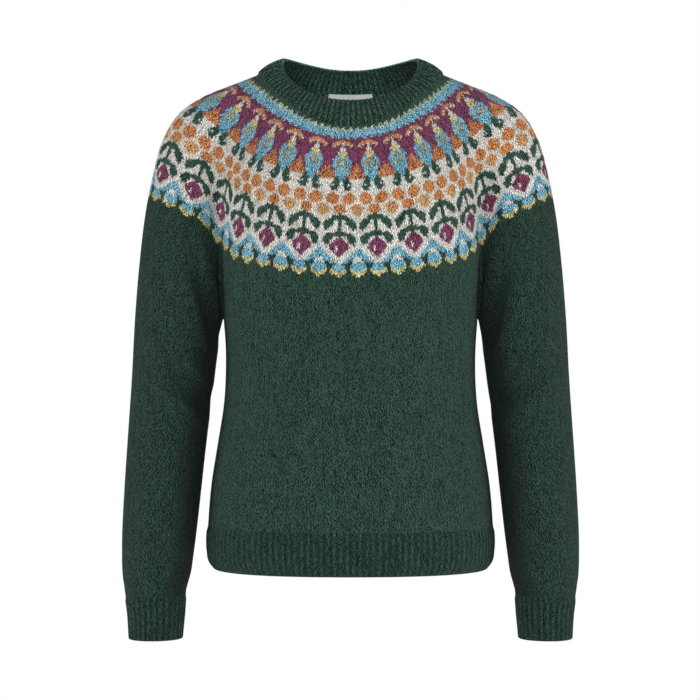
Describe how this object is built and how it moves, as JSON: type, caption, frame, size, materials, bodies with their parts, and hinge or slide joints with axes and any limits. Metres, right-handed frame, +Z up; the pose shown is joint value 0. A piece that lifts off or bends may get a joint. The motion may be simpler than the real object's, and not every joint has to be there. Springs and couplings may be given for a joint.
{
  "type": "fair isle jumper",
  "caption": "Long-sleeved round-necked wool jumper with a patterned fair isle yoke and ribbed neckband, hem and cuffs, filled out as worn and hollow.",
  "frame": {"origin": "between the shoulders on the jumper's middle plane, at the height where the neck seam crosses its sides, where the jumper rests when worn", "axes": "+Z up along the wearer's spine, +X towards the right-hand sleeve as seen from the front, -Y out of the front"},
  "size_m": [0.52, 0.2337, 0.6661],
  "materials": {
    "green_wool": "heathered wool, plain and ribbed knit",
    "yoke_wool": "stranded wool, flower bands in light blue, maroon, yellow, orange, cream and green",
    "label_weave": "blank woven satin"
  },
  "bodies": {
    "root": {"neckband": "green_wool", "yoke": "yoke_wool", "front": "green_wool", "back": "green_wool", "sleeve_left": "green_wool", "sleeve_right": "green_wool", "cuff_left": "green_wool", "cuff_right": "green_wool", "hem_front": "green_wool", "hem_back": "green_wool", "label": "label_weave"}
  },
  "joints": []
}
